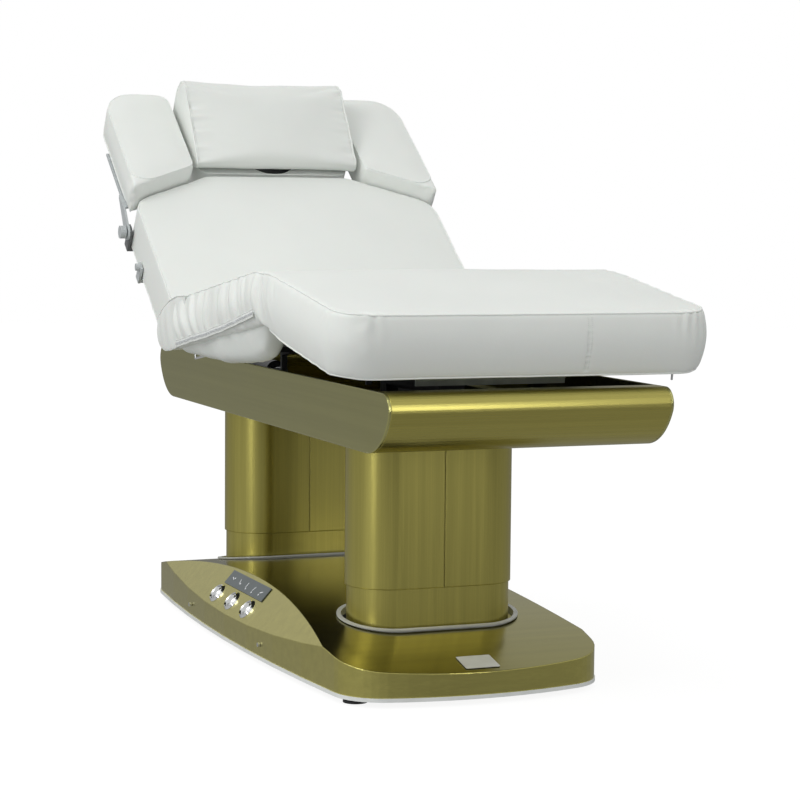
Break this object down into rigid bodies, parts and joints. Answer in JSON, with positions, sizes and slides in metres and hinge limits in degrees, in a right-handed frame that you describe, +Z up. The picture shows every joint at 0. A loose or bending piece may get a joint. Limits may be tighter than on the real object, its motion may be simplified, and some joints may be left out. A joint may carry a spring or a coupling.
{
  "type": "facial treatment bed",
  "caption": "Electric treatment bed: cushioned back, thigh and leg sections, side arm pads and pillow on a tray with telescopic columns and a foot-switch plinth.",
  "frame": {"origin": "floor level under the middle of the bed's overall box", "axes": "+X to the bed's right seen from the foot end, +Y from the foot end to the head end, +Z up"},
  "size_m": [0.862, 1.8806, 1.3378],
  "materials": {
    "polished_gold": "mirror polished gold-coloured stainless sheet",
    "brushed_gold": "gold-coloured stainless sheet with a straight brushed grain",
    "trim": "pale edge trim",
    "frame_steel": "powder-coated steel",
    "bright_steel": "bright steel",
    "chrome": "chrome plated",
    "console_glass": "dark glossy control panel",
    "icon_print": "white printed marks",
    "label": "blank silver-grey plate",
    "ring_rubber": "pale grey rubber lip",
    "black_rubber": "black rubber",
    "black_plastic": "black moulded plastic",
    "white_leather": "off-white upholstery leatherette with a fine grain",
    "grey_plate": "grey lacquered steel",
    "board": "grey painted board"
  },
  "bodies": {
    "base": {"base_shell": "polished_gold", "base_trim": "trim", "base_frame": "frame_steel", "console_panel": "console_glass", "panel_icons": "icon_print", "button_bezels": "chrome", "cover_screws": "bright_steel", "rating_plate": "label", "column_rings": "ring_rubber", "levelling_feet": "black_rubber", "control_box": "black_plastic", "mains_inlet": "black_plastic", "post_front": "frame_steel", "post_rear": "frame_steel"},
    "raise_button": {"button_raise": "chrome"},
    "lower_button": {"button_lower": "chrome"},
    "back_button": {"button_back": "chrome"},
    "middle_stage": {"lower_sleeve_front": "brushed_gold", "lower_sleeve_rear": "brushed_gold", "mid_tube_front": "bright_steel", "mid_tube_rear": "bright_steel"},
    "lift": {"sleeve_front_left": "brushed_gold", "sleeve_front_right": "brushed_gold", "sleeve_rear_left": "brushed_gold", "sleeve_rear_right": "brushed_gold", "lift_tube_front": "bright_steel", "lift_tube_rear": "bright_steel", "tray_side_left": "polished_gold", "tray_side_right": "polished_gold", "front_beam": "brushed_gold", "rear_beam": "brushed_gold", "tray_floor": "frame_steel", "inner_rails": "frame_steel", "hip_brackets": "bright_steel", "hip_pins": "bright_steel", "back_actuator": "black_plastic", "leg_actuator": "black_plastic"},
    "back_rod": {"back_push_rod": "bright_steel"},
    "leg_rod": {"leg_push_rod": "bright_steel"},
    "thigh": {"seat_cushion": "white_leather", "seat_board": "board", "knee_pins": "bright_steel", "side_handle": "chrome"},
    "leg": {"leg_cushion": "white_leather", "leg_board": "board", "leg_front_rail": "grey_plate"},
    "zip": {"zip_pull": "chrome"},
    "back": {"back_cushion": "white_leather", "back_board": "board", "side_lugs": "grey_plate", "neck_pins": "bright_steel"},
    "head": {"head_cushion": "white_leather", "head_board": "board"},
    "pad_left": {"arm_pad_left": "white_leather", "pad_bracket_left": "grey_plate"},
    "pad_right": {"arm_pad_right": "white_leather", "pad_bracket_right": "grey_plate"},
    "pillow_body": {"pillow": "white_leather"}
  },
  "joints": [
    {"name": "height", "type": "slide", "parent": "base", "child": "lift", "axis": [0, 0, 1], "range_m": [-0.05, 0.2]},
    {"name": "middle_stage_slide", "type": "slide", "parent": "base", "child": "middle_stage", "axis": [0, 0, 1], "range_m": [-0.0125, 0.05]},
    {"name": "raise_press", "type": "slide", "parent": "base", "child": "raise_button", "axis": [0.7431, 0, -0.6691], "range_m": [0, 0.004], "stiffness_N_per_m": 600, "springref_m": -0.002},
    {"name": "lower_press", "type": "slide", "parent": "base", "child": "lower_button", "axis": [0.7431, 0, -0.6691], "range_m": [0, 0.004], "stiffness_N_per_m": 600, "springref_m": -0.002},
    {"name": "back_press", "type": "slide", "parent": "base", "child": "back_button", "axis": [0.7431, 0, -0.6691], "range_m": [0, 0.004], "stiffness_N_per_m": 600, "springref_m": -0.002},
    {"name": "back_tilt", "type": "hinge", "parent": "lift", "child": "back", "pos_m": [0, 0.2509, 0.728], "axis": [1, 0, 0], "range_deg": [-35, 30]},
    {"name": "thigh_lift", "type": "hinge", "parent": "lift", "child": "thigh", "pos_m": [0, 0.2509, 0.728], "axis": [-1, 0, 0], "range_deg": [-3.5, 12]},
    {"name": "knee_bend", "type": "hinge", "parent": "thigh", "child": "leg", "pos_m": [0, -0.45513, 0.75833], "axis": [1, 0, 0], "range_deg": [-7.5, 25.3]},
    {"name": "back_rod_slide", "type": "slide", "parent": "lift", "child": "back_rod", "axis": [0, 1, 0], "range_m": [-0.0783, 0.0671]},
    {"name": "leg_rod_slide", "type": "slide", "parent": "lift", "child": "leg_rod", "axis": [0, -1, 0], "range_m": [-0.0073, 0.0248]},
    {"name": "head_tilt", "type": "hinge", "parent": "back", "child": "head", "pos_m": [0, 0.71782, 0.98863], "axis": [1, 0, 0], "range_deg": [-30, 0]},
    {"name": "pillow_lift", "type": "slide", "parent": "head", "child": "pillow_body", "axis": [0, -0.599, 0.8007], "range_m": [0, 0.12]},
    {"name": "pad_left_drop", "type": "hinge", "parent": "back", "child": "pad_left", "pos_m": [0, 0.57797, 0.9452], "axis": [-1, 0, 0], "range_deg": [0, 75]},
    {"name": "pad_right_drop", "type": "hinge", "parent": "back", "child": "pad_right", "pos_m": [0, 0.57797, 0.9452], "axis": [-1, 0, 0], "range_deg": [0, 75]},
    {"name": "zip_swing", "type": "hinge", "parent": "leg", "child": "zip", "pos_m": [0, -0.90265, 0.69461], "axis": [1, 0, 0], "range_deg": [-50, 50]}
  ],
  "couplings": [
    {"joint": "middle_stage_slide", "follows": "height", "ratio": 0.25},
    {"joint": "knee_bend", "follows": "thigh_lift", "ratio": 2.1},
    {"joint": "back_rod_slide", "follows": "back_tilt", "m_per_rad": 0.128},
    {"joint": "leg_rod_slide", "follows": "thigh_lift", "m_per_rad": 0.118}
  ]
}
